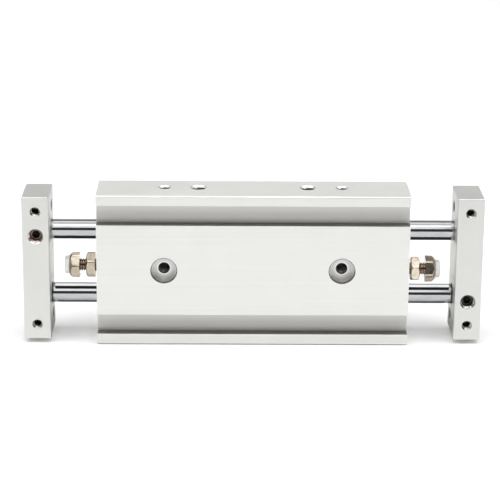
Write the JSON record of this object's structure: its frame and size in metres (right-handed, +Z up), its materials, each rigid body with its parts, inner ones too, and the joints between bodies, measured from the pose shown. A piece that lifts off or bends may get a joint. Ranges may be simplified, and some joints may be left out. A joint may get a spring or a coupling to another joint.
{
  "type": "double rod pneumatic cylinder",
  "caption": "Slim twin-bore air cylinder: extruded body with switch grooves, parallel through rods joined by end plates, and screw-adjusted end stops.",
  "frame": {"origin": "on the floor under the middle of the housing, which stands on its narrow side", "axes": "+X along the rods to the right, +Y from the grooved front face to the back, +Z up"},
  "size_m": [0.137, 0.018, 0.046],
  "materials": {
    "housing_aluminium": "clear anodised extrusion, satin",
    "plate_aluminium": "clear anodised, satin",
    "hard_chrome": "ground and hard chromed, mirror",
    "plated_steel": "nickel plated, bright",
    "bumper_urethane": "translucent urethane, satin",
    "cushion_urethane": "urethane, satin",
    "seal_rubber": "nitrile, matt",
    "spring_steel": "phosphated spring steel",
    "black_steel": "black oxide alloy steel",
    "cover_alloy": "bearing alloy, turned",
    "piston_alloy": "chromated alloy, turned",
    "magnet_compound": "bonded magnet, matt"
  },
  "bodies": {
    "housing": {"housing": "housing_aluminium", "upper_left_rod_cover": "cover_alloy", "upper_left_rod_seal": "seal_rubber", "upper_left_cover_o_ring": "seal_rubber", "upper_left_retaining_ring": "spring_steel", "upper_right_rod_cover": "cover_alloy", "upper_right_rod_seal": "seal_rubber", "upper_right_cover_o_ring": "seal_rubber", "upper_right_retaining_ring": "spring_steel", "lower_left_rod_cover": "cover_alloy", "lower_left_rod_seal": "seal_rubber", "lower_left_cover_o_ring": "seal_rubber", "lower_left_retaining_ring": "spring_steel", "lower_right_rod_cover": "cover_alloy", "lower_right_rod_seal": "seal_rubber", "lower_right_cover_o_ring": "seal_rubber", "lower_right_retaining_ring": "spring_steel"},
    "carriage": {"upper_rod": "hard_chrome", "upper_piston": "piston_alloy", "upper_piston_seal": "seal_rubber", "upper_piston_magnet": "magnet_compound", "upper_piston_cushions": "cushion_urethane", "upper_piston_clips": "spring_steel", "lower_rod": "hard_chrome", "lower_piston": "piston_alloy", "lower_piston_seal": "seal_rubber", "lower_piston_magnet": "magnet_compound", "lower_piston_cushions": "cushion_urethane", "lower_piston_clips": "spring_steel", "left_plate": "plate_aluminium", "left_clamp_screw": "black_steel", "left_rod_bolt": "black_steel", "right_plate": "plate_aluminium", "right_clamp_screw": "black_steel", "right_rod_bolt": "black_steel"},
    "left_stop_travel": {"left_bumper": "bumper_urethane"},
    "left_stop_screw": {"left_stop_bolt": "plated_steel", "left_stop_nut": "plated_steel"},
    "right_stop_travel": {"right_bumper": "bumper_urethane"},
    "right_stop_screw": {"right_stop_bolt": "plated_steel", "right_stop_nut": "plated_steel"}
  },
  "joints": [
    {"name": "carriage_slide", "type": "slide", "parent": "housing", "child": "carriage", "axis": [1, 0, 0], "range_m": [-0.004, 0.004]},
    {"name": "left_stop_slide", "type": "slide", "parent": "housing", "child": "left_stop_travel", "axis": [1, 0, 0], "range_m": [0, 0.0008]},
    {"name": "left_stop_turn", "type": "hinge", "parent": "left_stop_travel", "child": "left_stop_screw", "pos_m": [-0.052, 0, 0.0221], "axis": [1, 0, 0], "range_deg": [0, 412]},
    {"name": "right_stop_slide", "type": "slide", "parent": "housing", "child": "right_stop_travel", "axis": [-1, 0, 0], "range_m": [0, 0.001]},
    {"name": "right_stop_turn", "type": "hinge", "parent": "right_stop_travel", "child": "right_stop_screw", "pos_m": [0.052, 0, 0.0212], "axis": [-1, 0, 0], "range_deg": [0, 515]}
  ],
  "couplings": [
    {"joint": "left_stop_turn", "follows": "left_stop_slide", "rad_per_m": 8976},
    {"joint": "right_stop_turn", "follows": "right_stop_slide", "rad_per_m": 8976}
  ]
}
